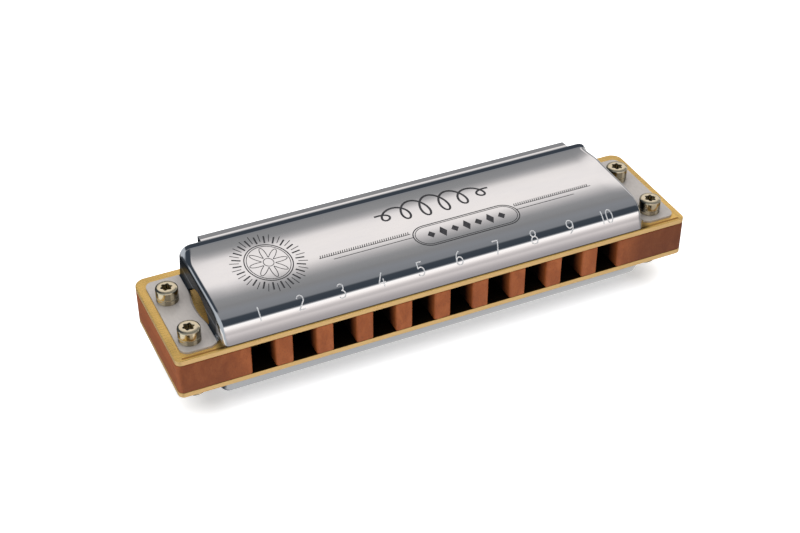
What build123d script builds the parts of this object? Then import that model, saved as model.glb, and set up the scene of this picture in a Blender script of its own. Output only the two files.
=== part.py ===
"""Ten-hole diatonic harmonica: wooden comb, two brass reed plates with twenty reeds, two steel covers.

While it is being drawn, the harmonica lies with X along its length (hole 1 towards -X), Y from the
player's side (y = 0) to the back, and Z up from the middle of the comb's thickness.  Every piece is
moved once, at the end, into the part's own frame: origin at the bottom centre of its bounding box.
"""
from build123d import *
import math
import os

# ---------------------------------------------------------------- comb and reed plates
LENGTH = 99.3             # comb and plates, along X
DEPTH = 24.7              # comb and plates, along Y
COMB_THICK = 5.9
PLATE_THICK = 1.0
BACK_CORNER = 2.2         # vertical corners of comb and plates, at the back
FRONT_CORNER = 1.1        # and at the player's side
HOLES = 10
PITCH = 7.5
HOLE_WIDTH = 4.27
HOLE_ROW_SHIFT = -0.6     # holes, reeds and screws sit a little towards hole 1
MOUTH_ROUND = 0.45        # softened vertical edges at each mouth
GROOVE_FROM_FRONT = 0.4   # groove that takes the foot of the cover's front wall
GROOVE_WIDTH = 0.5
GROOVE_DEPTH = 0.3
GROOVE_LENGTH = 97.0

# ---------------------------------------------------------------- reeds
REED_ROOT = 6.6           # distance of every reed's flex line from the front
LONGEST_REED = 15.0
SHORTEST_REED = 9.4
WIDEST_REED = 2.4
NARROWEST_REED = 2.0
REED_THICK = 0.30
REED_THIN = 0.22          # milled middle of the tongue
REED_MILLED = (0.14, 0.30, 0.70, 0.82)  # shares of its length where the milling ramps down and up
REED_REST_GAP = 0.06      # between the tongue and its plate at rest
SLOT_SIDE_GAP = 0.06
SLOT_TIP_GAP = 0.10
ROOT_GAP = 0.03           # between the tongue's round root and its pad
PAD_LENGTH = 3.2
PAD_WIDTH = 3.0
PAD_THICK = REED_THICK + REED_REST_GAP
PAD_CORNER = 0.5
PAST_TIP = 0.9            # channel beyond the reed's tip
RIVET_R = 0.5
RIVET_HEAD_R = 0.95
RIVET_HEAD = 0.35
RIVET_HEAD_ROUND = 0.25
FASTENER_GAP = 0.02       # radial play of rivets and screws in their holes

# ---------------------------------------------------------------- covers
SHEET = 0.4
COVER_HALF = 41.2         # half length, over the end walls
COVER_FRONT = 0.45        # foot of the front wall, from the front of the comb
COVER_BACK = 23.6         # back edge of the end walls
FOOT_HALF = 40.1          # half length of the front wall's foot, which stands in the groove
FOOT_PLAY = 0.05          # under the foot
WALL_TOP = (1.80, 2.75)   # end of the steep front wall: distance from front, height over the plate
SHOULDER = (3.15, 3.97)
PANEL_FRONT = (8.3, 4.93)
PANEL_BACK = (21.6, 5.15)
RIDGE_START = (22.9, 5.98)
RIDGE_HEIGHT = 6.15
RISE_KNOT = 0.6           # share of the rise where its inside is held parallel to its outside
LIP_BACK = 25.0           # outside of the turned-down lip at the back
LIP_HALF = 37.0
LIP_DROP = 1.2
LIP_BEND = 0.75
END_BEND = 0.9            # bend between the top or front wall and the end walls
FLANGE_REACH = 48.15      # outer edge of the flanges, from the middle
FLANGE_FRONT = 1.4
FLANGE_BACK = 22.5
FLANGE_CORNER = 1.5
VENT_FRONT = 6.9          # eye-shaped side vent, cut across the bend of wall and flange
VENT_BACK = 17.7
VENT_IN_FLANGE = 0.85
VENT_IN_WALL = 2.9

# ---------------------------------------------------------------- fasteners
SCREW_X = 45.1            # from the middle of the row of holes
SCREW_ROWS = (4.6, 16.5)  # distance of the cover screws from the front
SCREW_HEAD_R = 2.0
SCREW_HEAD = 2.75
SCREW_HEAD_CHAMFER = 0.3
SCREW_SHANK_R = 1.1
HEAD_SEAM_DOWN = 1.75     # fine turned groove round the head, from its top
HEAD_SEAM = 0.12
SOCKET_R = 1.05           # six-lobe socket
SOCKET_LOBE_R = 0.30
SOCKET_DEEP = 1.6
NUT_HEAD = 2.4
PLATE_SCREW_R = 0.7
PLATE_SCREW_HEAD_R = 1.25
PLATE_SCREW_HEAD = 0.55   # countersunk, flush with the upper plate
PLATE_SCREW_FRONT = 3.2   # front row, in three of the dividers
PLATE_SCREW_BACK = 23.4   # back row, behind the channels
PLATE_SCREW_SLOT = 0.3
PLATE_SCREW_SLOT_DEEP = 0.3

# ---------------------------------------------------------------- drawing aids
PAST = 1.0                # how far a cutter reaches past the faces it opens
NEAR = 0.05               # tolerance when edges are picked by their place

# ---------------------------------------------------------------- worked out from those
COMB_TOP = COMB_THICK / 2
PLATE_TOP = COMB_TOP + PLATE_THICK
HALF_HEIGHT = PLATE_TOP + RIDGE_HEIGHT
FLANGE_TOP = PLATE_TOP + SHEET
TO_FRAME = Pos(0, -LIP_BACK / 2, HALF_HEIGHT)
UPSIDE_DOWN = Plane.XY    # the lower half is the upper half mirrored in the comb's middle plane


def hole_x(hole):
    """Middle of a hole, counted from 0 at hole 1."""
    return HOLE_ROW_SHIFT + (hole - (HOLES - 1) / 2) * PITCH


def along_row(first, last, hole):
    """A size that changes evenly from hole 1 to hole 10."""
    return first + (last - first) * hole / (HOLES - 1)


def reed_length(hole):
    return along_row(LONGEST_REED, SHORTEST_REED, hole)


def reed_width(hole):
    return along_row(WIDEST_REED, NARROWEST_REED, hole)


def channel_end(hole):
    return REED_ROOT + reed_length(hole) + PAST_TIP


def block(x0, x1, y0, y1, z0, z1):
    """A box from its lowest to its highest corner."""
    centre = Pos((x0 + x1) / 2, (y0 + y1) / 2, (z0 + z1) / 2)
    return centre * Box(x1 - x0, y1 - y0, z1 - z0)


def rod(x, y, z0, z1, radius):
    """An upright round bar."""
    return Pos(x, y, (z0 + z1) / 2) * Cylinder(radius, z1 - z0)


def upright_edges(solid, low_y, high_y):
    """Vertical edges whose middle lies between two distances from the front."""
    return solid.edges().filter_by(Axis.Z).filter_by_position(Axis.Y, low_y, high_y)


def slab(z0, z1):
    """Full-size slab with the comb's rounded corners."""
    body = block(-LENGTH / 2, LENGTH / 2, 0, DEPTH, z0, z1)
    body = fillet(upright_edges(body, DEPTH - NEAR, DEPTH + NEAR), BACK_CORNER)
    return fillet(upright_edges(body, -NEAR, NEAR), FRONT_CORNER)


def mirrored(solid):
    return mirror(solid, about=UPSIDE_DOWN)


def cover_screw_places():
    return [(HOLE_ROW_SHIFT + side * SCREW_X, y) for side in (-1, 1) for y in SCREW_ROWS]


def plate_screw_places():
    """Three screws in dividers near the front, six in line with dividers along the back."""
    front = [(hole_x(hole) + PITCH / 2, PLATE_SCREW_FRONT) for hole in (1, 4, 7)]
    back = [(hole_x(hole) + PITCH / 2, PLATE_SCREW_BACK) for hole in (-1, 1, 3, 5, 7, 9)]
    return front + back


def drill_fasteners(solid):
    """Clearance holes for the cover screws and the reed plate screws."""
    for x, y in cover_screw_places():
        solid -= rod(x, y, -PLATE_TOP - PAST, PLATE_TOP + PAST, SCREW_SHANK_R + FASTENER_GAP)
    for x, y in plate_screw_places():
        solid -= rod(x, y, -PLATE_TOP - PAST, PLATE_TOP + PAST, PLATE_SCREW_R + FASTENER_GAP)
    return solid


def countersunk_head(x, y, play):
    """Cone that narrows down from the plate's top, a little larger all round when play is given."""
    cone = Cone(PLATE_SCREW_R + play, PLATE_SCREW_HEAD_R + play, PLATE_SCREW_HEAD)
    return Pos(x, y, PLATE_TOP - PLATE_SCREW_HEAD / 2) * cone


def make_comb():
    """Wooden comb with a channel behind each mouth, open above and below."""
    comb = slab(-COMB_TOP, COMB_TOP)
    for hole in range(HOLES):
        x = hole_x(hole)
        half = HOLE_WIDTH / 2
        comb -= block(x - half, x + half, -PAST, channel_end(hole), -COMB_TOP - PAST, COMB_TOP + PAST)
    mouths = [hole_x(hole) + side * HOLE_WIDTH / 2 for hole in range(HOLES) for side in (-1, 1)]
    front_edges = upright_edges(comb, -NEAR, NEAR)
    soft = [e for e in front_edges if min(abs(e.center().X - x) for x in mouths) < NEAR]
    comb = fillet(soft, MOUTH_ROUND)
    return drill_fasteners(comb)


def make_upper_plate():
    """Brass plate with a slot and a rivet hole for each reed, and the groove for the cover's foot."""
    plate = slab(COMB_TOP, PLATE_TOP)
    groove_back = GROOVE_FROM_FRONT + GROOVE_WIDTH
    plate -= block(-GROOVE_LENGTH / 2, GROOVE_LENGTH / 2, GROOVE_FROM_FRONT, groove_back,
                   PLATE_TOP - GROOVE_DEPTH, PLATE_TOP + PAST)
    for hole in range(HOLES):
        x = hole_x(hole)
        half = reed_width(hole) / 2 + SLOT_SIDE_GAP
        tip = REED_ROOT + reed_length(hole) + SLOT_TIP_GAP
        plate -= block(x - half, x + half, REED_ROOT - SLOT_TIP_GAP, tip, COMB_TOP - PAST, PLATE_TOP + PAST)
        plate -= rod(x, rivet_y(), COMB_TOP - PAST, PLATE_TOP + PAST, RIVET_R + FASTENER_GAP)
    return drill_fasteners(plate)


def countersink(plate):
    """The upper plate's seats for the plate screws' heads."""
    for x, y in plate_screw_places():
        plate -= countersunk_head(x, y, FASTENER_GAP)
    return plate


def pad_back():
    """Back edge of the riveted pads, just clear of the tongues' round roots."""
    return REED_ROOT - REED_THICK / 2 - ROOT_GAP


def rivet_y():
    return pad_back() - PAD_LENGTH / 2


def reed_face(outside):
    """Height of the plate face that carries the reeds, and the way they stand off it."""
    return (PLATE_TOP, 1) if outside else (COMB_TOP, -1)


def make_reed(hole, outside):
    """Tongue with a round root about its flex line, thinned along its middle."""
    face, way = reed_face(outside)
    length = reed_length(hole)
    near = face + way * REED_REST_GAP
    far = near + way * REED_THICK
    thin = near + way * REED_THIN
    heel, thin_start, thin_end, tip_block = (REED_ROOT + share * length for share in REED_MILLED)
    tip = REED_ROOT + length
    profile = Polyline(
        (REED_ROOT, near), (tip, near), (tip, far), (tip_block, far), (thin_end, thin),
        (thin_start, thin), (heel, far), (REED_ROOT, far),
        close=True)
    side_view = Plane(origin=(hole_x(hole) - reed_width(hole) / 2, 0, 0), x_dir=(0, 1, 0), z_dir=(1, 0, 0))
    tongue = extrude(side_view * make_face(profile), reed_width(hole))
    middle = (near + far) / 2
    root = Pos(hole_x(hole), REED_ROOT, middle) * Rot(0, 90, 0) * Cylinder(REED_THICK / 2, reed_width(hole))
    return tongue + root


def make_roots(outside):
    """The riveted pads that the ten reeds of one plate grow from."""
    face, way = reed_face(outside)
    z0, z1 = sorted((face, face + way * PAD_THICK))
    pad_front = pad_back() - PAD_LENGTH
    pads = []
    for hole in range(HOLES):
        x = hole_x(hole)
        pad = block(x - PAD_WIDTH / 2, x + PAD_WIDTH / 2, pad_front, pad_back(), z0, z1)
        pad = fillet(upright_edges(pad, pad_front - NEAR, pad_front + NEAR), PAD_CORNER)
        pad -= rod(x, rivet_y(), z0 - PAST, z1 + PAST, RIVET_R + FASTENER_GAP)
        pads.append(pad)
    return pads


def make_rivets(outside):
    """Ten rivets through pad and plate: domed head on the pad, flat tail flush with the far face."""
    face, way = reed_face(outside)
    far_face = COMB_TOP if outside else PLATE_TOP
    head_start = face + way * PAD_THICK
    z0, z1 = sorted((far_face, head_start))
    head0, head1 = sorted((head_start, head_start + way * RIVET_HEAD))
    rivets = []
    for hole in range(HOLES):
        x = hole_x(hole)
        head = rod(x, rivet_y(), head0, head1, RIVET_HEAD_R)
        outer = head.edges().filter_by(GeomType.CIRCLE).sort_by(Axis.Z)[-1 if way > 0 else 0]
        head = fillet(outer, RIVET_HEAD_ROUND)
        rivets.append(rod(x, rivet_y(), z0, z1, RIVET_R) + head)
    return rivets


def end_view(x):
    """Plane across the harmonica at x, drawn as distance from front and height over the plate."""
    return Plane(origin=(x, 0, PLATE_TOP), x_dir=(0, 1, 0), z_dir=(1, 0, 0))


def moved_in(curve, at, inset):
    """Point of a curve, moved square to it towards the inside of the cover."""
    point = curve @ at
    along = curve % at
    return (point.X + along.Y * inset, point.Y - along.X * inset)


def cover_section(inset, below, past_back):
    """Closed end-on outline of the pressing, or of its inside when inset is the sheet thickness.

    The inside reaches below the plate's face and past the back edge, so that it cuts both open.
    """
    wall = Line((COVER_FRONT, 0), WALL_TOP)
    shoulder = TangentArc(WALL_TOP, SHOULDER, tangent=wall % 1)
    brow = TangentArc(SHOULDER, PANEL_FRONT, tangent=shoulder % 1)
    panel = Line(brow @ 1, PANEL_BACK)
    level = (1, 0)
    rise = Spline(PANEL_BACK, RIDGE_START, (COVER_BACK, RIDGE_HEIGHT), tangents=(panel % 1, level))
    foot = moved_in(wall, 0, inset)
    wall_in = Line(foot, moved_in(wall, 1, inset))
    shoulder_in = TangentArc(wall_in @ 1, moved_in(shoulder, 1, inset), tangent=wall % 1)
    brow_in = TangentArc(shoulder_in @ 1, moved_in(brow, 1, inset), tangent=shoulder % 1)
    panel_in = Line(brow_in @ 1, moved_in(panel, 1, inset))
    rise_in = Spline(panel_in @ 1, moved_in(rise, RISE_KNOT, inset), moved_in(rise, 1, inset),
                     tangents=(panel % 1, level))
    back_end = (COVER_BACK + past_back, RIDGE_HEIGHT - inset)
    edges = [wall_in, shoulder_in, brow_in, panel_in, rise_in]
    if past_back:
        edges.append(Line(rise_in @ 1, back_end))
    corners = Polyline(back_end, (back_end[0], -below), (foot[0], -below))
    edges.append(corners)
    if below:
        edges.append(Line((foot[0], -below), foot))
    return make_face(edges)


def rounded_ends(section, half, bend):
    """The section drawn out along X, its front, top and ridge rounded over at both ends."""
    solid = extrude(end_view(-half) * section, 2 * half)
    rims = []
    for face in solid.faces().filter_by(Axis.X):
        for edge in face.edges():
            middle = edge.center()
            if middle.Z > PLATE_TOP + bend / 2 and middle.Y < COVER_BACK - NEAR:
                rims.append(edge)
    return fillet(rims, bend)


def pressed_dome():
    """Hollow pressing: front wall, top and end walls, open underneath and at the back."""
    outside = rounded_ends(cover_section(0, 0, 0), COVER_HALF, END_BEND)
    inside = rounded_ends(cover_section(SHEET, PAST, PAST), COVER_HALF - SHEET, END_BEND - SHEET)
    return outside - inside


def back_lip():
    """Sheet that carries on from the ridge and turns down at the back, short of the ends."""
    top = RIDGE_HEIGHT
    under = RIDGE_HEIGHT - SHEET
    inner_back = LIP_BACK - SHEET
    bend_start = LIP_BACK - LIP_BEND
    bend_end = RIDGE_HEIGHT - LIP_BEND
    edge = bend_end - LIP_DROP
    start = COVER_BACK - NEAR
    section = make_face([
        Line((start, top), (bend_start, top)),
        TangentArc((bend_start, top), (LIP_BACK, bend_end), tangent=(1, 0)),
        Polyline((LIP_BACK, bend_end), (LIP_BACK, edge), (inner_back, edge), (inner_back, bend_end)),
        TangentArc((inner_back, bend_end), (bend_start, under), tangent=(0, 1)),
        Polyline((bend_start, under), (start, under), (start, top))])
    return extrude(end_view(-LIP_HALF) * section, 2 * LIP_HALF)


def flange(side):
    """Flat tab at one end, with its two screw holes."""
    x0, x1 = sorted((side * (COVER_HALF - SHEET / 2), side * FLANGE_REACH))
    tab = block(x0, x1, FLANGE_FRONT, FLANGE_BACK, PLATE_TOP, FLANGE_TOP)
    outer = [e for e in tab.edges().filter_by(Axis.Z) if abs(abs(e.center().X) - FLANGE_REACH) < NEAR]
    tab = fillet(outer, FLANGE_CORNER)
    for x, y in cover_screw_places():
        tab -= rod(x, y, PLATE_TOP - PAST, FLANGE_TOP + PAST, SCREW_SHANK_R + FASTENER_GAP)
    return tab


def vent_cutter(side):
    """Two crossing eye shapes, one through the flange and one through the end wall."""
    middle = (VENT_FRONT + VENT_BACK) / 2
    wall_x = side * COVER_HALF
    rim = wall_x + side * VENT_IN_FLANGE
    inside = wall_x - side * 2 * SHEET
    plan = make_face([
        Line((wall_x, VENT_BACK), (inside, VENT_BACK)),
        Line((inside, VENT_BACK), (inside, VENT_FRONT)),
        Line((inside, VENT_FRONT), (wall_x, VENT_FRONT)),
        ThreePointArc((wall_x, VENT_FRONT), (rim, middle), (wall_x, VENT_BACK))])
    through_flange = extrude(Plane(origin=(0, 0, PLATE_TOP - NEAR)) * plan, SHEET + 2 * NEAR)
    eye = make_face([
        Line((VENT_BACK, 0), (VENT_FRONT, 0)),
        ThreePointArc((VENT_FRONT, 0), (middle, VENT_IN_WALL), (VENT_BACK, 0))])
    through_wall = extrude(end_view(min(inside, rim)) * eye, abs(rim - inside))
    return through_flange + through_wall


def make_upper_cover():
    """Pressed cover: dome, back lip, two flanges, two side vents and the foot in the groove."""
    cover = pressed_dome() + back_lip()
    for side in (-1, 1):
        cover += flange(side)
    for side in (-1, 1):
        cover -= vent_cutter(side)
    foot_end = PLATE_TOP - GROOVE_DEPTH + FOOT_PLAY
    return cover + block(-FOOT_HALF, FOOT_HALF, COVER_FRONT, COVER_FRONT + SHEET, foot_end, PLATE_TOP)


def lobed_socket(x, y, top):
    """Six-lobe driving recess, cut down from the head's top."""
    core_r = SOCKET_R - SOCKET_LOBE_R
    socket = rod(x, y, top - SOCKET_DEEP, top + PAST, core_r)
    for lobe in range(6):
        turn = math.radians(60 * lobe)
        lx = x + core_r * math.cos(turn)
        ly = y + core_r * math.sin(turn)
        socket += rod(lx, ly, top - SOCKET_DEEP, top + PAST, SOCKET_LOBE_R)
    return socket


def make_cover_screws():
    """Four cap screws: tall round heads on the upper flange, shanks down to the nuts' undersides."""
    screws = []
    top = FLANGE_TOP + SCREW_HEAD
    for x, y in cover_screw_places():
        head = rod(x, y, FLANGE_TOP, top, SCREW_HEAD_R)
        rim = head.edges().filter_by(GeomType.CIRCLE).sort_by(Axis.Z)[-1]
        head = chamfer(rim, SCREW_HEAD_CHAMFER)
        seam = rod(x, y, top - HEAD_SEAM_DOWN - HEAD_SEAM, top - HEAD_SEAM_DOWN, SCREW_HEAD_R + PAST)
        seam -= rod(x, y, FLANGE_TOP, top, SCREW_HEAD_R - HEAD_SEAM)
        shank = rod(x, y, -FLANGE_TOP - NUT_HEAD, FLANGE_TOP, SCREW_SHANK_R)
        screws.append(head - seam - lobed_socket(x, y, top) + shank)
    return screws


def make_cover_nuts():
    """Four round nuts under the lower flange."""
    nuts = []
    for x, y in cover_screw_places():
        nut = rod(x, y, -FLANGE_TOP - NUT_HEAD, -FLANGE_TOP, SCREW_HEAD_R)
        rim = nut.edges().filter_by(GeomType.CIRCLE).sort_by(Axis.Z)[0]
        nut = chamfer(rim, SCREW_HEAD_CHAMFER)
        nuts.append(nut - rod(x, y, -FLANGE_TOP - NUT_HEAD - PAST, 0, SCREW_SHANK_R + FASTENER_GAP))
    return nuts


def make_plate_screws():
    """Nine slotted countersunk screws that clamp upper plate, comb and lower plate."""
    screws = []
    for x, y in plate_screw_places():
        screw = countersunk_head(x, y, 0) + rod(x, y, -PLATE_TOP, PLATE_TOP, PLATE_SCREW_R)
        slot_y = (y - PLATE_SCREW_SLOT / 2, y + PLATE_SCREW_SLOT / 2)
        reach = PLATE_SCREW_HEAD_R + PAST
        slot_floor = PLATE_TOP - PLATE_SCREW_SLOT_DEEP
        screws.append(screw - block(x - reach, x + reach, *slot_y, slot_floor, PLATE_TOP + PAST))
    return screws


def save(node, shape):
    """Write one node, moved into the part's own frame."""
    solids = shape if isinstance(shape, list) else [shape]
    placed = [TO_FRAME * solid for solid in solids]
    export_step(placed[0] if len(placed) == 1 else Compound(children=placed), f"parts/{node}.step")


def flipped(shape):
    """The mirror image of a solid, or of each solid in a list."""
    if isinstance(shape, list):
        return [mirrored(solid) for solid in shape]
    return mirrored(shape)


def main():
    """The lower half is the mirrored upper half: each plate pair differs only in its reeds' side."""
    os.makedirs("parts", exist_ok=True)
    save("comb", make_comb())
    upper_plate = make_upper_plate()
    save("upper_reed_plate", countersink(upper_plate))
    save("lower_reed_plate", flipped(upper_plate))
    upper_cover = make_upper_cover()
    save("upper_cover", upper_cover)
    save("lower_cover", flipped(upper_cover))
    for hole in range(HOLES):
        save(f"blow_reed_{hole + 1}", make_reed(hole, outside=False))
        save(f"draw_reed_{hole + 1}", flipped(make_reed(hole, outside=True)))
    save("blow_reed_roots", make_roots(outside=False))
    save("draw_reed_roots", flipped(make_roots(outside=True)))
    save("blow_reed_rivets", make_rivets(outside=False))
    save("draw_reed_rivets", flipped(make_rivets(outside=True)))
    save("reed_plate_screws", make_plate_screws())
    save("cover_screws", make_cover_screws())
    save("cover_nuts", make_cover_nuts())


main()
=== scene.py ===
"""Looks of the ten-hole harmonica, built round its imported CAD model.

The modelling functions work in millimetres: x along the harmonica, d the distance from the player's
side of the comb and h the height above the middle of the comb.  to_row() turns such a point into the
shared frame, in metres.
"""
import math

import bpy
import numpy as np
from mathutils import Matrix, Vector


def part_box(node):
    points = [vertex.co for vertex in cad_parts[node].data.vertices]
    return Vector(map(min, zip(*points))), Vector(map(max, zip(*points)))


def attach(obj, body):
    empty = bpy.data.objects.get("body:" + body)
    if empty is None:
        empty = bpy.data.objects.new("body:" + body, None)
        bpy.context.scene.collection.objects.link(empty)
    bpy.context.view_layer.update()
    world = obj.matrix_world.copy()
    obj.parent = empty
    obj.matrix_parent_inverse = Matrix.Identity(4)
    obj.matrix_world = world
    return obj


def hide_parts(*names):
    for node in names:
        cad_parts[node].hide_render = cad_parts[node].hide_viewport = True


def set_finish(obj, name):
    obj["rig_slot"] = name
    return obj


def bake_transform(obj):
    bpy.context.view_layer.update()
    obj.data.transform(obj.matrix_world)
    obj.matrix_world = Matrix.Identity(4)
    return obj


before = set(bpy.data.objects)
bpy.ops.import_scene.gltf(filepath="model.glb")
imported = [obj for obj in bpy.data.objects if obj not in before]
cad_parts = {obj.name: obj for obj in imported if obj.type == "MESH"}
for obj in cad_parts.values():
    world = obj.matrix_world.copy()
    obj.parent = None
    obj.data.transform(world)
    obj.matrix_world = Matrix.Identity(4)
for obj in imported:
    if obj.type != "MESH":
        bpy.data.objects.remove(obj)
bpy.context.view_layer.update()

MM = 0.001


def corners(node):
    """Lowest and highest corner of a CAD node, in millimetres."""
    low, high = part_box(node)
    return low / MM, high / MM


# -------------------- sizes read from the frame
COMB_LOW, COMB_HIGH = corners("comb")
UPPER_HIGH = corners("upper_reed_plate")[1]
COVER_HIGH = corners("upper_cover")[1]
SCREWS_LOW, SCREWS_HIGH = corners("cover_screws")
NUTS_LOW = corners("cover_nuts")[0]
HOLES = 10
BLOW_REEDS = [corners(f"blow_reed_{n + 1}") for n in range(HOLES)]
FRONT = COMB_LOW.y
MIDDLE = (COMB_LOW.z + COMB_HIGH.z) / 2
HALF_LENGTH = (COMB_HIGH.x - COMB_LOW.x) / 2
DEPTH = COMB_HIGH.y - COMB_LOW.y
COMB_TOP = COMB_HIGH.z - MIDDLE
PLATE_TOP = UPPER_HIGH.z - MIDDLE
FLANGE_REACH = COVER_HIGH.x
HOLE_X = [(low.x + high.x) / 2 for low, high in BLOW_REEDS]
REED_WIDTH = [high.x - low.x for low, high in BLOW_REEDS]
REED_TIP = [high.y - FRONT for low, high in BLOW_REEDS]
REED_THICK = 0.30
REED_ROOT = BLOW_REEDS[0][0].y - FRONT + REED_THICK / 2   # the line where the reeds flex
HOLE_PITCH = (HOLE_X[-1] - HOLE_X[0]) / (HOLES - 1)

# -------------------- comb and plates
HOLE_WIDTH = 4.27
MOUTH_ROUND = 0.45
CHANNEL_PAST_TIP = 0.9
CHANNEL_CORNER = 0.6
BACK_CORNER = 2.2
ROW_MIDDLE = (HOLE_X[0] + HOLE_X[-1]) / 2
ROW_HALF = (HOLE_X[-1] - HOLE_X[0] + HOLE_WIDTH) / 2
FRONT_CORNER = 1.1
SOFT_EDGE = 0.16           # of the wood and of the brass
GROOVE_FROM_FRONT = 0.4
GROOVE_WIDTH = 0.5
GROOVE_DEPTH = 0.3
GROOVE_HALF = 48.5
SLOT_SIDE_GAP = 0.06
SLOT_TIP_GAP = 0.10
SLOT_CORNER = 0.15

# -------------------- reeds
PAD_HALF = 1.5
PAD_LONG = 3.38            # from the pad's end to the flex line
PAD_CORNER = 0.5
PAD_THICK = 0.36
REED_NECK = 0.45           # length over which the pad narrows into the tongue
REED_GAP = 0.06            # between tongue and plate at rest
REED_EDGE = 0.04
REED_MILLING = [           # share of the tongue's length and its thickness there
    (0.05, 0.30), (0.14, 0.30), (0.22, 0.26), (0.30, 0.22), (0.42, 0.22), (0.55, 0.22),
    (0.70, 0.22), (0.76, 0.26), (0.82, 0.30), (0.91, 0.30), (1.0, 0.30),
]
FLEX_LONG = 3.0            # stretch of the tongue past the flex line, in which it bends

# -------------------- fasteners
SCREW_R = 2.0
SHANK_R = 1.1
PLATE_SCREW_HEAD_R = 1.25
PLATE_SCREW_HEAD = 0.55
PLATE_SCREW_R = 0.7
PLATE_SCREW_SLOT = 0.3
PLATE_SCREW_FRONT = 3.2
PLATE_SCREW_BACK = 23.4
FASTENER_GAP = 0.02
SEAM_DOWN = 1.75           # fine turned groove round the heads, from their tops
PAINTED_REFLECTION_STREAKS = [         # direction in degrees and darkness of painted reflections, as upright stripes down the heads' sides
    (-180, 0.75), (-168, 0.75), (-158, 0.0), (-124, 0.0), (-116, 0.55), (-92, 0.60), (-84, 0.0), (-74, 0.1),
    (-66, 0.85), (-25, 0.85), (20, 0.1), (60, 0.5), (110, 0.0), (150, 0.75), (180, 0.75),
]

# -------------------- cover pressing
SHEET = 0.4
END_WALL = 41.2            # outside of the end walls, from the middle
LIP_HALF = 37.0
FLANGE_FRONT = 1.4
FLANGE_BACK = 22.5
FLANGE_CORNER = 1.5
FLANGE_FAN = (2.2, 5.0)    # lines that leave the wall here spread out to the flange's front edge
FLANGE_BEND = 0.35         # inside radius of the bend from end wall to flange
WALL_DRAFT = 3.0           # degrees by which the end walls lean in
PRESSING = [               # distance from front, height over the plate, slope in degrees, steps to the next
    (0.45, -0.25, 68, 12),
    (1.22, 1.50, 64, 10),
    (1.80, 2.65, 58, 6),
    (2.05, 3.02, 50, 8),
    (3.15, 3.97, 30, 8),
    (5.10, 4.66, 7.2, 8),
    (8.30, 4.93, 2.8, 6),
    (11.4, 5.03, 0.7, 6),
    (14.5, 5.06, 0.6, 6),
    (17.5, 5.12, 1.9, 6),
    (18.8, 5.18, 3.4, 6),
    (20.3, 5.30, 5.8, 6),
    (22.1, 5.52, 8, 4),
    (22.30, 5.64, 44, 4),
    (22.65, 5.98, 44, 7),
    (22.80, 6.05, 3, 6),
    (23.30, 6.065, -1, 6),
    (23.50, 6.05, -7, 5),
    (24.70, 5.88, -9, 7),
    (25.00, 5.50, -90, 3),
    (25.00, 4.20, -90, 0),
]
CREST = 15                 # knot of PRESSING up to which the sheet has end walls; past it comes the lip
END_BEND = 0.95            # radius of the bend from the top to an end wall
FRONT_END_BEND = 1.25      # the same at the front shoulder
RIDGE_END_BEND = 2.2       # the same at the ridge
PAINTED_WALL_LINE = 2.2            # height over the plate of the painted light line along the end walls
VENT_FRONT = 6.9
VENT_BACK = 17.7
VENT_IN_FLANGE = 0.85
VENT_IN_WALL = 2.9

# -------------------- marks on the cover; places are (x, d)
NUMBER_FOOT = 1.66
NUMBER_HEIGHT = 2.55
NUMBER_NARROW = 0.85
NUMBER_BEAD = 0.115
NUMBERS_RIGHT = 0.45       # the numbers stand a little right of their holes
DIGIT_WIDTH = 1.3
DIGIT_ADVANCE = 1.4
MARK_HIGH = 0.02           # over the sheet
MARK_SUNK = 0.03
FINE_LINE = 0.13
BOLD_LINE = 0.20
ROSETTE = (-28.0, 13.3)
ROSETTE_RIM = (3.75, 4.75)
RAYS = 44
CAPSULE = (8.4, 9.0)
CAPSULE_HALF_LONG = 10.4
CAPSULE_HALF_HIGH = 2.9
LOZENGES = 7
RULE_ENDS = (-19.6, 34.9)
SECOND_RULE_ENDS = (-17.3, 30.8)
RULE_TICKS = 0.42
SCROLL = (5.6, 17.3)
SCROLL_HALF = 11.5
SCROLL_HIGH = 2.8
SCROLL_LINE = 0.42

# -------------------- camera and light
CAMERA_AZIMUTH = -24.87
CAMERA_ELEVATION = 36.86
CAMERA_DISTANCE = 280.5
CAMERA_AIM = (-2.98, 0.5, 10.49)
CAMERA_LENS = 69.2
SENSOR = 36.0
FLOOR_GLOW = 0.36          # the pale floor glows a little, as a light table does
LIGHT_PLACE = (0.0, 0.12, 0.75)    # metres
LIGHT_SIZE = (1.7, 1.5)
LIGHT_WATTS = 18.0


# ==================== points and meshes
def to_row(point):
    """(x, d, h) in millimetres to the shared frame, in metres."""
    x, d, h = point
    return Vector((x, d + FRONT, h + MIDDLE)) * MM


def shade(mesh, flat_caps=False, sharp=35):
    """Smooth shading but for edges sharper than some degrees and, on a plate, its level faces."""
    for polygon in mesh.polygons:
        polygon.use_smooth = not (flat_caps and abs(polygon.normal.z) > 0.9999)
    mesh.set_sharp_from_angle(angle=math.radians(sharp))


def add_mesh(name, points, faces, material, slot, flip=False, sharp=35, flat_caps=False):
    """A new piece; flip mirrors it into the lower half of the harmonica."""
    if flip:
        points = [(x, d, -h) for x, d, h in points]
        faces = [tuple(reversed(face)) for face in faces]
    mesh = bpy.data.meshes.new(name)
    mesh.from_pydata([to_row(p) for p in points], [], faces)
    mesh.validate()
    shade(mesh, flat_caps, sharp)
    mesh.materials.append(material)
    piece = bpy.data.objects.new(name, mesh)
    bpy.context.scene.collection.objects.link(piece)
    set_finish(piece, slot)
    return piece


def apply_modifiers(piece, flat_caps=False):
    """Bake the modifiers into the mesh and mark its sharp edges again."""
    graph = bpy.context.evaluated_depsgraph_get()
    mesh = bpy.data.meshes.new_from_object(piece.evaluated_get(graph))
    piece.modifiers.clear()
    piece.data = mesh
    shade(mesh, flat_caps)


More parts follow.
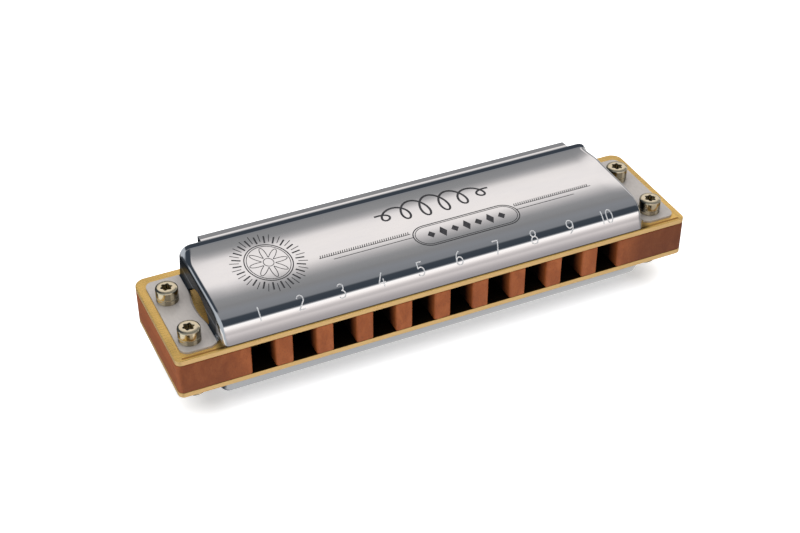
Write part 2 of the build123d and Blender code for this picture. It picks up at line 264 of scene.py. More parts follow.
def cut(piece, points, faces, flip=False, flat_caps=False, folded=False):
    """Take a closed shape, or several in one mesh, out of a piece; folded says that it may cross itself."""
    cutter = add_mesh("cutter", points, faces, piece.data.materials[0], piece["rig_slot"], flip)
    carve = piece.modifiers.new("carve", "BOOLEAN")
    carve.operation = "DIFFERENCE"
    carve.solver = "EXACT"
    carve.use_self = folded
    carve.object = cutter
    apply_modifiers(piece, flat_caps)
    bpy.data.objects.remove(cutter)


def arc(cx, cy, radius, start, end, steps):
    """Points of a circular arc in a plane, angles in degrees."""
    angles = [math.radians(start + (end - start) * k / steps) for k in range(steps + 1)]
    return [(cx + radius * math.cos(a), cy + radius * math.sin(a)) for a in angles]


def rounded_rectangle(x0, x1, y0, y1, radii, steps=8):
    """Anticlockwise outline; radii are those of the corners from (x0, y0) on."""
    middles = [(x0, y0, 1, 1), (x1, y0, -1, 1), (x1, y1, -1, -1), (x0, y1, 1, -1)]
    outline = []
    for quarter, ((x, y, to_x, to_y), radius) in enumerate(zip(middles, radii)):
        start = 180 + 90 * quarter
        outline += arc(x + to_x * radius, y + to_y * radius, radius, start, start + 90, steps)
    return outline


def circle(x, y, radius, steps=32):
    return arc(x, y, radius, 0, 360, steps)[:-1]


def moved_inwards(outline, inset):
    """An outline moved to its left by inset, with mitred corners."""
    points = np.array(outline)
    before = points - np.roll(points, 1, axis=0)
    after = np.roll(points, -1, axis=0) - points
    before /= np.linalg.norm(before, axis=1)[:, None]
    after /= np.linalg.norm(after, axis=1)[:, None]
    left_before = np.stack([-before[:, 1], before[:, 0]], axis=1)
    left_after = np.stack([-after[:, 1], after[:, 0]], axis=1)
    both = left_before + left_after
    return points + inset * 2 * both / (both ** 2).sum(axis=1)[:, None]


def strips(rings, count, closed=False):
    """Quads between rings of count points that follow each other in one list."""
    faces = []
    for ring in range(rings if closed else rings - 1):
        low, high = ring * count, (ring + 1) % rings * count
        for k in range(count):
            after = (k + 1) % count
            faces.append((low + k, low + after, high + after, high + k))
    return faces


def bevelled_slab(outline, h0, h1, bevel, steps=3):
    """Points and faces of a plate between two heights, with rounded edges; the outline runs anticlockwise."""
    turns = [math.radians(90 * k / steps) for k in range(steps + 1)]
    levels = [(bevel * (1 - math.sin(t)), h0 + bevel * (1 - math.cos(t))) for t in turns]
    levels += [(inset, h0 + h1 - h) for inset, h in reversed(levels)]
    count = len(outline)
    points = []
    for inset, h in levels:
        points += [(x, d, h) for x, d in moved_inwards(outline, inset)]
    faces = strips(len(levels), count)
    faces.append(tuple(range(count))[::-1])
    faces.append(tuple(range(len(points) - count, len(points))))
    return points, faces


def turned_rings(x, d, rings, steps):
    """Points of rings round an axis; a ring is (radius or radius(angle), height)."""
    points = []
    for radius, h in rings:
        for k in range(steps):
            angle = 2 * math.pi * k / steps
            r = radius(angle) if callable(radius) else radius
            points.append((x + r * math.cos(angle), d + r * math.sin(angle), h))
    return points


def lathe(x, d, rings, steps=64):
    """Points and faces of a turned solid, whose first and last ring are points on the axis."""
    middle = rings[1:-1]
    points = [*turned_rings(x, d, middle, steps), (x, d, rings[0][1]), (x, d, rings[-1][1])]
    faces = strips(len(middle), steps)
    first, last = len(points) - 2, len(points) - 1
    for k in range(steps):
        after = (k + 1) % steps
        faces.append((first, after, k))
        faces.append((last, first - steps + k, first - steps + after))
    return points, faces


def prism(outline, place):
    """Closed solid between two copies of an outline; place(u, v, end) gives its points at end 0 and 1."""
    count = len(outline)
    points = [place(u, v, end) for end in (0, 1) for u, v in outline]
    faces = [tuple(range(count))[::-1], tuple(range(count, 2 * count)), *strips(2, count)]
    return points, faces


def joined(parts):
    """Several (points, faces) as one."""
    points, faces = [], []
    for more_points, more_faces in parts:
        shift = len(points)
        points += more_points
        faces += [tuple(i + shift for i in face) for face in more_faces]
    return points, faces


# ==================== materials
class Nodes:
    """Short way to build the node tree of a material, or of a world."""

    def __init__(self, name, world=False):
        self.material = (bpy.data.worlds if world else bpy.data.materials).new(name)
        self.material.use_nodes = True
        self.tree = self.material.node_tree
        self.shader = self.tree.nodes["Background" if world else "Principled BSDF"]
        self.place = self.add("ShaderNodeTexCoord").outputs["Generated" if world else "Object"]

    def add(self, kind, **settings):
        node = self.tree.nodes.new(kind)
        for key, value in settings.items():
            setattr(node, key, value)
        return node

    def link(self, source, target):
        self.tree.links.new(source, target)

    def fixed(self, socket, value):
        """A value of the shader that is the same all over the surface."""
        self.shader.inputs[socket].default_value = value

    def varied(self, socket, source):
        """A value of the shader that changes over the surface."""
        self.link(source, self.shader.inputs[socket])

    def noise(self, scale, detail=4.0, roughness=0.5, distortion=0.0):
        """Noise with a scale for each axis, in features per millimetre."""
        mapping = self.add("ShaderNodeMapping")
        mapping.inputs["Scale"].default_value = [s / MM for s in scale]
        self.link(self.place, mapping.inputs["Vector"])
        noise = self.add("ShaderNodeTexNoise")
        self.link(mapping.outputs["Vector"], noise.inputs["Vector"])
        noise.inputs["Scale"].default_value = 1.0
        noise.inputs["Detail"].default_value = detail
        noise.inputs["Roughness"].default_value = roughness
        noise.inputs["Distortion"].default_value = distortion
        return noise.outputs["Fac"]

    def ramp(self, value, stops):
        """A colour ramp; stops are (place, colour)."""
        ramp = self.add("ShaderNodeValToRGB")
        elements = ramp.color_ramp.elements
        while len(elements) < len(stops):
            elements.new(0.5)
        for element, (place, colour) in zip(elements, stops):
            element.position = place
            element.color = (*colour, 1)
        self.link(value, ramp.inputs["Fac"])
        return ramp.outputs["Color"]

    def spread(self, value, low, high, start=0.3, end=0.7):
        """A value turned from start..end into low..high."""
        spread = self.add("ShaderNodeMapRange")
        self.link(value, spread.inputs["Value"])
        spread.inputs["From Min"].default_value = start
        spread.inputs["From Max"].default_value = end
        spread.inputs["To Min"].default_value = low
        spread.inputs["To Max"].default_value = high
        return spread.outputs["Result"]

    def rise(self, value, start, end):
        """0 before start and 1 past end, both in millimetres."""
        return self.spread(value, 0.0, 1.0, start * MM, end * MM)

    def fall(self, value, start, end):
        """1 before start and 0 past end, both in millimetres."""
        return self.spread(value, 1.0, 0.0, start * MM, end * MM)

    def blend(self, factor, a, b):
        """Colour a at factor 0, colour b at factor 1."""
        mix = self.add("ShaderNodeMix", data_type="RGBA")
        sockets = {socket.name: socket for socket in mix.inputs if socket.enabled}
        for name, source in (("Factor", factor), ("A", a), ("B", b)):
            if hasattr(source, "links"):
                self.link(source, sockets[name])
            else:
                sockets[name].default_value = (*source, 1)
        return next(socket for socket in mix.outputs if socket.enabled)

    def bump(self, height, distance, strength=1.0):
        """Bump with its depth in millimetres."""
        bump = self.add("ShaderNodeBump")
        bump.inputs["Strength"].default_value = strength
        bump.inputs["Distance"].default_value = distance * MM
        self.link(height, bump.inputs["Height"])
        self.varied("Normal", bump.outputs["Normal"])

    def parts(self, vector):
        """X, Y and Z of a vector."""
        separate = self.add("ShaderNodeSeparateXYZ")
        self.link(vector, separate.inputs["Vector"])
        return [separate.outputs[name] for name in "XYZ"]

    def normal(self):
        """X, Y and Z of the direction that the surface faces."""
        return self.parts(self.add("ShaderNodeNewGeometry").outputs["Normal"])

    def axis(self, name):
        """One of the object's coordinates, in metres."""
        return self.parts(self.place)["XYZ".index(name)]

    def maths(self, operation, a, b=None):
        node = self.add("ShaderNodeMath", operation=operation)
        for source, target in ((a, node.inputs[0]), (b, node.inputs[1])):
            if hasattr(source, "links"):
                self.link(source, target)
            elif source is not None:
                target.default_value = source
        return node.outputs["Value"]

    def product(self, first, *others):
        for other in others:
            first = self.maths("MULTIPLY", first, other)
        return first

    def off(self, name, middle):
        """Distance along one axis from a place in millimetres."""
        return self.maths("ABSOLUTE", self.maths("SUBTRACT", self.axis(name), middle * MM))

    def turn(self, x, y):
        """Direction of (x, y) as a share of a full turn, 0 and 1 at the left."""
        share = self.maths("DIVIDE", self.maths("ARCTAN2", y, x), 2 * math.pi)
        return self.maths("ADD", share, 0.5)


def by_degrees(stops):
    """Ramp stops given in degrees from -180 to 180, as shares of a full turn."""
    return [(degrees / 360 + 0.5, colour) for degrees, colour in stops]


def off_middle(n):
    """Distance from the comb's mid-plane."""
    return n.off("Z", MIDDLE)


def in_channels(n):
    """0 outside the air channels, rising to 1 a little way in from the mouths."""
    back = FRONT + max(REED_TIP) + CHANNEL_PAST_TIP
    within_row = n.maths("LESS_THAN", n.off("X", ROW_MIDDLE), (ROW_HALF + 0.05) * MM)
    before_back = n.maths("LESS_THAN", n.axis("Y"), (back + 0.1) * MM)
    deep = n.rise(n.axis("Y"), FRONT + 0.5, FRONT + 3.0)
    return n.product(deep, within_row, before_back)


def cover_steel():
    """Mirror-polished dome and satin on the flat flanges; the end walls are rougher, with painted dark
    reflection and a painted light line along them.
    """
    n = Nodes("polished_steel")
    haze = n.noise((0.08, 0.3, 0.3), detail=3)
    polished = n.ramp(haze, [(0.3, (0.745, 0.75, 0.765)), (0.7, (0.775, 0.775, 0.78))])
    speckle = n.noise((3.0, 1.0, 3.0), detail=5)
    blasted = n.ramp(speckle, [(0.3, (0.42, 0.39, 0.365)), (0.7, (0.47, 0.437, 0.41))])
    outwards = n.maths("ABSOLUTE", n.axis("X"))
    satin = n.rise(outwards, END_WALL + 0.45, END_WALL + 0.65)
    # Painted shade: behind the front corner and short of the flanges, the end walls are painted near black in
    # place of their dark reflection, with a painted light line at one height.
    in_wall = n.rise(outwards, END_WALL - 0.25, END_WALL - 0.10)
    behind = n.rise(n.axis("Y"), FRONT + 2.6, FRONT + 4.0)
    over_line = n.maths("SUBTRACT", off_middle(n), (PLATE_TOP + PAINTED_WALL_LINE) * MM)
    off_painted_line = n.rise(n.maths("ABSOLUTE", over_line), 0.05, 0.22)
    wall = n.product(in_wall, behind, n.maths("SUBTRACT", 1.0, satin))
    painted_wall_colour = n.blend(off_painted_line, (0.30, 0.35, 0.40), (0.040, 0.050, 0.062))
    n.varied("Base Color", n.blend(satin, n.blend(wall, polished, painted_wall_colour), blasted))
    n.varied("Metallic", n.spread(satin, 1.0, 0.45, 0.0, 1.0))
    polish = n.spread(n.noise((0.4, 6.0, 6.0), detail=6), 0.055, 0.10)
    n.varied("Roughness", n.blend(satin, n.blend(wall, polish, (0.38,) * 3), (0.42,) * 3))
    return n.material


def plate_brass():
    """Brushed brass sheet, sawn at its edges and tarnished in places, with painted shade under the covers and
    on the faces inside the air channels.
    """
    n = Nodes("plate_brass")
    n.fixed("Metallic", 0.75)
    tarnish = n.noise((0.15, 0.4, 0.4), detail=5)
    grain = n.noise((0.25, 9.0, 9.0), detail=4)
    clean = n.ramp(grain, [(0.3, (0.78, 0.485, 0.135)), (0.7, (0.86, 0.565, 0.185))])
    dull = n.blend(n.spread(tarnish, 0.0, 0.5, 0.45, 0.75), clean, (0.62, 0.40, 0.13))
    upright = n.spread(n.maths("ABSOLUTE", n.normal()[2]), 1.0, 0.0, 0.3, 0.8)
    sawn = n.blend(upright, dull, (0.74, 0.51, 0.23))
    # Painted shade under the covers: darker inside the end walls and just behind the front rim, weaker
    # further back, fading out towards the open back.
    covered = n.fall(n.maths("ABSOLUTE", n.axis("X")), END_WALL + 0.2, END_WALL + 1.4)
    open_back = n.fall(n.axis("Y"), FRONT + 18.0, FRONT + 22.5)
    past_rim = n.rise(n.axis("Y"), FRONT + 0.12, FRONT + 0.30)
    by_foot = n.spread(n.axis("Y"), 0.85, 0.6, (FRONT + 1.5) * MM, (FRONT + 4.0) * MM)
    cover_shade_mask = n.product(covered, open_back, past_rim, by_foot)
    shaded = n.blend(cover_shade_mask, sawn, (0.16, 0.10, 0.03))
    # Painted shade: near black on the faces inside the air channels.
    inner = n.fall(off_middle(n), COMB_TOP + 0.01, COMB_TOP + 0.06)
    n.varied("Base Color", n.blend(inner, shaded, (0.012, 0.008, 0.004)))
    n.varied("Roughness", n.maths("ADD", n.spread(grain, 0.24, 0.36), n.product(upright, 0.25)))
    n.bump(grain, 0.0015, 0.5)
    return n.material


def reed_brass():
    """Milled reed brass with fine marks across each reed, and painted shade inside the air channels."""
    n = Nodes("reed_brass")
    n.fixed("Metallic", 1.0)
    marks = n.noise((0.6, 14.0, 6.0), detail=4)
    clean = n.ramp(marks, [(0.3, (0.74, 0.52, 0.22)), (0.7, (0.90, 0.68, 0.34))])
    # Painted shade: near black where the reed lies within the comb's thickness, inside the air channels.
    inner = n.fall(off_middle(n), COMB_TOP + 0.05, COMB_TOP + 0.25)
    n.varied("Base Color", n.blend(inner, clean, (0.03, 0.02, 0.01)))
    n.varied("Roughness", n.spread(marks, 0.22, 0.36))
    n.bump(marks, 0.004, 0.6)
    return n.material


def rivet_brass(name="rivet_brass"):
    """Turned brass of rivets and plate screws."""
    n = Nodes(name)
    n.fixed("Metallic", 1.0)
    spots = n.noise((1.5, 1.5, 1.5), detail=4)
    n.varied("Base Color", n.ramp(spots, [(0.35, (0.62, 0.43, 0.18)), (0.65, (0.86, 0.66, 0.32))]))
    n.varied("Roughness", n.spread(spots, 0.16, 0.30))
    n.bump(n.noise((8.0, 8.0, 8.0), detail=3), 0.003, 0.5)
    return n.material


def screw_nickel():
    """Warm nickel of the cover screws and nuts, with the rings that turning leaves and painted reflections as
    upright dark stripes down their sides.
    """
    n = Nodes("screw_nickel")
    n.fixed("Metallic", 1.0)
    rings = n.noise((0.3, 0.3, 14.0), detail=3)
    turned = n.ramp(rings, [(0.3, (0.60, 0.52, 0.36)), (0.7, (0.80, 0.72, 0.54))])
    # Painted reflection: dark upright stripes, set by the direction that the side faces.
    x, y, z = n.normal()
    reflection_streaks = n.ramp(n.turn(x, y), by_degrees((degrees, (dark,) * 3) for degrees, dark in PAINTED_REFLECTION_STREAKS))
    upright = n.spread(n.maths("ABSOLUTE", z), 1.0, 0.0, 0.2, 0.5)
    n.varied("Base Color", n.blend(n.product(upright, reflection_streaks), turned, (0.10, 0.085, 0.055)))
    n.varied("Roughness", n.spread(rings, 0.11, 0.20))
    n.bump(rings, 0.003, 0.6)
    return n.material


def comb_wood():
    """Stained, sealed wood with its grain from front to back, along the comb's teeth, darker at the solid
    ends, and with painted shade inside the air channels.
    """
    n = Nodes("comb_wood")
    figure = n.noise((0.5, 0.04, 0.25), detail=5, roughness=0.6, distortion=0.6)
    fibres = n.noise((5.0, 0.3, 2.2), detail=5, roughness=0.65)
    pores = n.noise((9.0, 0.8, 7.0), detail=2)
    base = n.ramp(figure, [
        (0.25, (0.205, 0.050, 0.012)), (0.5, (0.26, 0.068, 0.017)), (0.75, (0.33, 0.094, 0.026))])
    streaked = n.blend(n.spread(fibres, 0.0, 0.55, 0.5, 0.75), base, (0.13, 0.045, 0.022))
    dark_pores = n.blend(n.spread(pores, 0.0, 0.6, 0.62, 0.72), streaked, (0.07, 0.025, 0.013))
    # Darker towards both solid ends past the holes, more so towards the right, but not on the left end face.
    past_row = n.rise(n.off("X", ROW_MIDDLE), ROW_HALF - 1, ROW_HALF + 6)
    more_to_right = n.spread(n.axis("X"), 0.40, 0.62, -10 * MM, 10 * MM)
    off_left_end = n.rise(n.axis("X"), 0.05 - HALF_LENGTH, 0.8 - HALF_LENGTH)
    with_darker_ends = n.blend(n.product(past_row, more_to_right, off_left_end), dark_pores, (0.05, 0.012, 0.004))
    # Painted shade: near black inside the air channels, from a little way in from the mouths.
    n.varied("Base Color", n.blend(in_channels(n), with_darker_ends, (0.012, 0.004, 0.002)))
    n.varied("Roughness", n.spread(fibres, 0.48, 0.64))
    n.fixed("Specular IOR Level", 0.2)
    n.bump(n.maths("SUBTRACT", fibres, n.product(pores, 0.5)), 0.012, 0.5)
    return n.material


def mark_etch():
    """Dark etched marks on the cover."""
    n = Nodes("mark_etch")
    wear = n.noise((2.0, 2.0, 2.0), detail=4)
    n.varied("Base Color", n.ramp(wear, [(0.3, (0.012, 0.012, 0.014)), (0.75, (0.045, 0.045, 0.05))]))
    n.fixed("Metallic", 0.3)
    n.varied("Roughness", n.spread(wear, 0.35, 0.5))
    return n.material


def stamped_steel():
    """Bright raised strokes of the stamped numbers."""
    n = Nodes("stamped_steel")
    n.fixed("Metallic", 0.6)
    wear = n.noise((3.0, 3.0, 3.0), detail=4)
    n.varied("Base Color", n.ramp(wear, [(0.3, (0.70, 0.70, 0.71)), (0.7, (0.80, 0.80, 0.80))]))
    n.varied("Roughness", n.spread(wear, 0.26, 0.36))
    return n.material


def floor_paper():
    """Pale paper that glows a little."""
    n = Nodes("pale_floor")
    fibre = n.noise((0.02, 0.02, 0.02), detail=3)
    n.varied("Base Color", n.ramp(fibre, [(0.3, (0.92, 0.92, 0.92)), (0.7, (0.94, 0.94, 0.94))]))
    n.fixed("Roughness", 0.9)
    n.fixed("Specular IOR Level", 0.1)
    n.fixed("Emission Color", (1, 1, 1, 1))
    n.fixed("Emission Strength", FLOOR_GLOW)
    return n.material


# ==================== comb, plates, reeds
def channel_end(hole):
    return REED_TIP[hole] + CHANNEL_PAST_TIP


def comb_outline():
    """Outside of the comb, running in and out of the ten air channels."""
    half = HOLE_WIDTH / 2
    outline = arc(-HALF_LENGTH + FRONT_CORNER, FRONT_CORNER, FRONT_CORNER, 180, 270, 8)
    for hole, x in enumerate(HOLE_X):
        end = channel_end(hole)
        left, right = x - half, x + half
        outline += arc(left - MOUTH_ROUND, MOUTH_ROUND, MOUTH_ROUND, 270, 360, 6)
        outline += arc(left + CHANNEL_CORNER, end - CHANNEL_CORNER, CHANNEL_CORNER, 180, 90, 6)
        outline += arc(right - CHANNEL_CORNER, end - CHANNEL_CORNER, CHANNEL_CORNER, 90, 0, 6)
        outline += arc(right + MOUTH_ROUND, MOUTH_ROUND, MOUTH_ROUND, 180, 270, 6)
    outline += arc(HALF_LENGTH - FRONT_CORNER, FRONT_CORNER, FRONT_CORNER, 270, 360, 8)
    outline += arc(HALF_LENGTH - BACK_CORNER, DEPTH - BACK_CORNER, BACK_CORNER, 0, 90, 10)
    outline += arc(-HALF_LENGTH + BACK_CORNER, DEPTH - BACK_CORNER, BACK_CORNER, 90, 180, 10)
    return outline


def make_comb(wood):
    points, faces = bevelled_slab(comb_outline(), -COMB_TOP, COMB_TOP, SOFT_EDGE)
    comb = add_mesh("wooden_comb", points, faces, wood, "comb_wood", flat_caps=True)
    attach(comb, "body")
    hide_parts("comb")


def plate_screw_places():
    front = [(HOLE_X[hole] + HOLE_PITCH / 2, PLATE_SCREW_FRONT) for hole in (1, 4, 7)]
    back = [(HOLE_X[0] + (hole + 0.5) * HOLE_PITCH, PLATE_SCREW_BACK) for hole in (-1, 1, 3, 5, 7, 9)]
    return front + back


def plate_cutters(screw_hole):
    """Reed slots, screw holes and the groove that holds the cover's front edge."""
    outlines = [circle(x, d, screw_hole + FASTENER_GAP, 32) for x, d in plate_screw_places()]
    for hole, x in enumerate(HOLE_X):
        half = REED_WIDTH[hole] / 2 + SLOT_SIDE_GAP
        start, end = REED_ROOT - SLOT_TIP_GAP, REED_TIP[hole] + SLOT_TIP_GAP
        outlines.append(rounded_rectangle(x - half, x + half, start, end, (SLOT_CORNER,) * 4, steps=3))
    through = (COMB_TOP - 1, PLATE_TOP + 1)
    cutters = [prism(outline, lambda u, v, end: (u, v, through[end])) for outline in outlines]
    groove = rounded_rectangle(-GROOVE_HALF, GROOVE_HALF, GROOVE_FROM_FRONT, GROOVE_FROM_FRONT + GROOVE_WIDTH,
                               (GROOVE_WIDTH * 0.45,) * 4, steps=6)
    cutters.append(prism(groove, lambda u, v, end: (u, v, (PLATE_TOP - GROOVE_DEPTH, PLATE_TOP + 1)[end])))
    return joined(cutters)


def make_reed_plate(name, node, brass, flip, screw_hole):
    radii = (FRONT_CORNER, FRONT_CORNER, BACK_CORNER, BACK_CORNER)
    outside = rounded_rectangle(-HALF_LENGTH, HALF_LENGTH, 0, DEPTH, radii)
    points, faces = bevelled_slab(outside, COMB_TOP, PLATE_TOP, SOFT_EDGE)
    plate = add_mesh(name, points, faces, brass, "plate_brass", flip)
    cut(plate, *plate_cutters(screw_hole), flip=flip, flat_caps=True)
    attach(plate, "body")
    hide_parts(node)


def reed_stations(hole):
    """Distance, half width, and the heights of both faces over the plate, from the pad's end to the tip."""
    half = REED_WIDTH[hole] / 2
    pad_start = REED_ROOT - PAD_LONG
    neck_start = REED_ROOT - 0.05 - REED_NECK
    stations = []
    for k in range(7):
        turn = math.radians(90 * k / 6)
        off_end, off_side = PAD_CORNER * (1 - math.cos(turn)), PAD_CORNER * (1 - math.sin(turn))
        stations.append((pad_start + off_end, PAD_HALF - off_side, 0, PAD_THICK))
    for k in range(5):
        share = (1 - math.cos(math.pi * k / 4)) / 2
        wide = PAD_HALF + (half - PAD_HALF) * share
        stations.append((neck_start + REED_NECK * k / 4, wide, REED_GAP * share, PAD_THICK))
    for share, thick in REED_MILLING:
        place = REED_ROOT + share * (REED_TIP[hole] - REED_ROOT)
        stations.append((place, half, REED_GAP, REED_GAP + thick))
    return stations


def reed_solid(hole, outside):
    """One brass strip: round-cornered pad on the plate, and the tongue that it tapers into."""
    x = HOLE_X[hole]
    plate_face, way = (PLATE_TOP, 1) if outside else (COMB_TOP, -1)
    stations = reed_stations(hole)
    points = []
    for d, wide, near, far in stations:
        low, high = plate_face + way * near, plate_face + way * far
        side = high - way * REED_EDGE
        points += [(x - wide, d, low), (x + wide, d, low), (x + wide, d, side),
                   (x + wide - REED_EDGE, d, high), (x - wide + REED_EDGE, d, high), (x - wide, d, side)]
    count = 6
    faces = [face[::-1] for face in strips(len(stations), count)]
    faces += [tuple(range(count)), tuple(range(len(points) - count, len(points)))[::-1]]
    if way < 0:
        faces = [face[::-1] for face in faces]
    return points, faces


def make_reeds(brass):
    """Twenty reeds, a blow and a draw reed for each hole."""
    for hole in range(HOLES):
        for kind, outside in (("blow", False), ("draw", True)):
            points, faces = reed_solid(hole, outside)
            node = f"{kind}_reed_{hole + 1}"
            reed = add_mesh(f"{kind}_tongue_{hole + 1}", points, faces, brass, "reed_brass", flip=outside)
            height = -PLATE_TOP if outside else COMB_TOP
            bend_start = to_row((HOLE_X[hole], REED_ROOT - 0.1, height))
            bend_end = to_row((HOLE_X[hole], REED_ROOT + FLEX_LONG, height))
            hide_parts(node, f"{kind}_reed_roots")
            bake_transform(reed)


# ==================== covers
def pressing_curve():
    """Distances, heights over the comb's middle and slopes along the profile, and the crest's index."""
    line = []
    crest = 0
    for knot, ((d0, h0, slope0, steps), (d1, h1, slope1, _)) in enumerate(zip(PRESSING, PRESSING[1:])):
        if knot == CREST:
            crest = len(line)
        chord = math.hypot(d1 - d0, h1 - h0)
        start = np.array([math.cos(math.radians(slope0)), math.sin(math.radians(slope0))]) * chord
        end = np.array([math.cos(math.radians(slope1)), math.sin(math.radians(slope1))]) * chord
        for k in range(steps):
            t = k / steps
            place = ((2 * t**3 - 3 * t**2 + 1) * np.array([d0, h0]) + (t**3 - 2 * t**2 + t) * start
                     + (3 * t**2 - 2 * t**3) * np.array([d1, h1]) + (t**3 - t**2) * end)
            line.append(place)
    line.append(np.array(PRESSING[-1][:2]))
    line = np.array(line)
    along = np.gradient(line, axis=0)
    slopes = np.arctan2(along[:, 1], along[:, 0])
    return line[:, 0], line[:, 1] + PLATE_TOP, slopes, crest


CURVE_D, CURVE_H, CURVE_SLOPE, CURVE_CREST = pressing_curve()
CURVE_LENGTH = np.concatenate([[0], np.cumsum(np.hypot(np.diff(CURVE_D), np.diff(CURVE_H)))])


def smooth_step(value, start, end):
    t = min(max((value - start) / (end - start), 0), 1)
    return t * t * (3 - 2 * t)


def flange_reach(d):
    """How far out the flange goes at a distance from the front, round its corners."""
    to_edge = min(d - FLANGE_FRONT, FLANGE_BACK - d)
    short = FLANGE_CORNER - min(max(to_edge, 0), FLANGE_CORNER)
    return FLANGE_REACH - FLANGE_CORNER + math.sqrt(FLANGE_CORNER**2 - short**2)


def flange_line(d_wall):
    """Distance from the front, out on the flange, of the line that leaves the wall at d_wall."""
    start, end = FLANGE_FAN
    if d_wall > end:
        return d_wall
    return end - (end - d_wall) * (end - FLANGE_FRONT) / (end - start)


def end_path(i):
    """Points from the top of the pressing round its right end, at one point of the profile.

    They go down the bend and the wall, and out along the flange where it reaches.
    """
    bend_steps, wall_steps, foot_steps, run_steps = 10, 8, 6, 8
    d, h, slope = CURVE_D[i], CURVE_H[i], CURVE_SLOPE[i]
    radius = (END_BEND + (RIDGE_END_BEND - END_BEND) * smooth_step(d, 17.5, 22.5)
              + (FRONT_END_BEND - END_BEND) * (1 - smooth_step(d, 2.0, 5.0)))
    lean = slope * (1 - smooth_step(d, 6.0, 10.0))
    draft = math.radians(WALL_DRAFT)
    path = []
    for k in range(bend_steps + 1):
        turn = (math.pi / 2 - draft) * k / bend_steps
        drop = radius * (1 - math.cos(turn))
        x = END_WALL - radius + radius * math.sin(turn)
        path.append((x, d + math.sin(lean) * drop, h - math.cos(lean) * drop))
    x, d_wall, h_top = path[-1]
    foot_h = PLATE_TOP + SHEET
    corner_h = foot_h + FLANGE_BEND * (1 - math.sin(draft))
    if h_top < corner_h + 0.05:
        return path
    has_flange = FLANGE_FAN[0] <= d_wall <= FLANGE_BACK + 0.05
    down = h_top - (corner_h if has_flange else PLATE_TOP + 0.02)
    for k in range(1, wall_steps + 1):
        part = down * k / wall_steps
        path.append((x + part * math.tan(draft), d_wall, h_top - part))
    if not has_flange:
        return path
    foot_x = path[-1][0] + FLANGE_BEND * math.cos(draft)
    for k in range(1, foot_steps + 1):
        turn = draft + (math.pi / 2 - draft) * k / foot_steps
        rise = FLANGE_BEND * (1 - math.sin(turn))
        path.append((foot_x - FLANGE_BEND * math.cos(turn), d_wall, foot_h + rise))
    d_out = flange_line(d_wall)
    reach = flange_reach(d_out)
    for k in range(1, run_steps + 1):
        share = k / run_steps
        d_run = d_wall + (d_out - d_wall) * smooth_step(share, 0, 0.25)
        path.append((foot_x + (reach - foot_x) * share, d_run, foot_h))
    return path


def cover_surface():
    """Outer surface of the upper pressing: rows along the profile, with columns out to both ends."""
    middle = np.linspace(-LIP_HALF, LIP_HALF, 38)
    last = len(middle) - 1
    index, points = {}, []
    for i, (d, h) in enumerate(zip(CURVE_D, CURVE_H)):
        row = {j: (x, d, h) for j, x in enumerate(middle)}
        if i <= CURVE_CREST:
            for k, (x, d_end, h_end) in enumerate(end_path(i), start=1):
                row[last + k] = (x, d_end, h_end)
                row[-k] = (-x, d_end, h_end)
        for column, point in row.items():
            index[i, column] = len(points)
            points.append(tuple(float(c) for c in point))
    faces = []
    for i, column in index:
        quad = [(i, column), (i, column + 1), (i + 1, column + 1), (i + 1, column)]
        if all(key in index for key in quad):
            faces.append(tuple(index[key] for key in quad))
    return points, faces


def vent_cutter(side):
    """Eye-shaped bar that goes slantwise through the corner of end wall and flange."""
    length = VENT_BACK - VENT_FRONT
    middle = (VENT_FRONT + VENT_BACK) / 2

    def bulge(height, steps):
        """Arc over the eye's length, of a given height at its middle."""
        radius = (length**2 / 4 + height**2) / (2 * height)
        reach = math.degrees(math.asin(length / 2 / radius))
        return arc(0, height - radius, radius, 90 - reach, 90 + reach, steps)

    upper = bulge(VENT_IN_WALL / math.sqrt(2), 28)
    lower = [(-u, -v) for u, v in bulge(VENT_IN_FLANGE / math.sqrt(2), 28)]
    outline = upper + lower[1:-1]
    corner_x = END_WALL + FLANGE_BEND
    corner_h = PLATE_TOP + SHEET
    ends = (-2.6, 3.0)

    def place(u, v, end):
        x = corner_x + (ends[end] - v) / math.sqrt(2)
        return (side * x, middle + u * side, corner_h + (ends[end] + v) / math.sqrt(2))

    return prism(outline, place)


def screw_places():
    """Middles of the four cover screws, from the CAD screws' box."""
    xs = (SCREWS_LOW.x + SCREW_R, SCREWS_HIGH.x - SCREW_R)
    ds = (SCREWS_LOW.y + SCREW_R - FRONT, SCREWS_HIGH.y - SCREW_R - FRONT)
    return [(x, d) for x in xs for d in ds]


def make_cover(name, node, steel, flip):
    points, faces = cover_surface()
    cover = add_mesh(name, points, faces, steel, "cover_steel", flip)
    sheet = cover.modifiers.new("sheet", "SOLIDIFY")
    sheet.thickness = SHEET * MM
    sheet.offset = -1
    apply_modifiers(cover)
    cutters = [vent_cutter(side) for side in (-1, 1)]
    for x, d in screw_places():
        drill = [(SHANK_R + FASTENER_GAP, PLATE_TOP - 0.5), (SHANK_R + FASTENER_GAP, PLATE_TOP + 1)]
        cutters.append(lathe(x, d, [(0, PLATE_TOP - 0.5), *drill, (0, PLATE_TOP + 1)], 32))
    cut(cover, *joined(cutters), flip=flip, folded=True)
    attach(cover, "body")
    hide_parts(node)


# ==================== screws and nuts
def six_lobes(angle):
    return 0.90 + 0.13 * math.cos(6 * angle)


def lobes_wider(more):
    return lambda angle: six_lobes(angle) + more


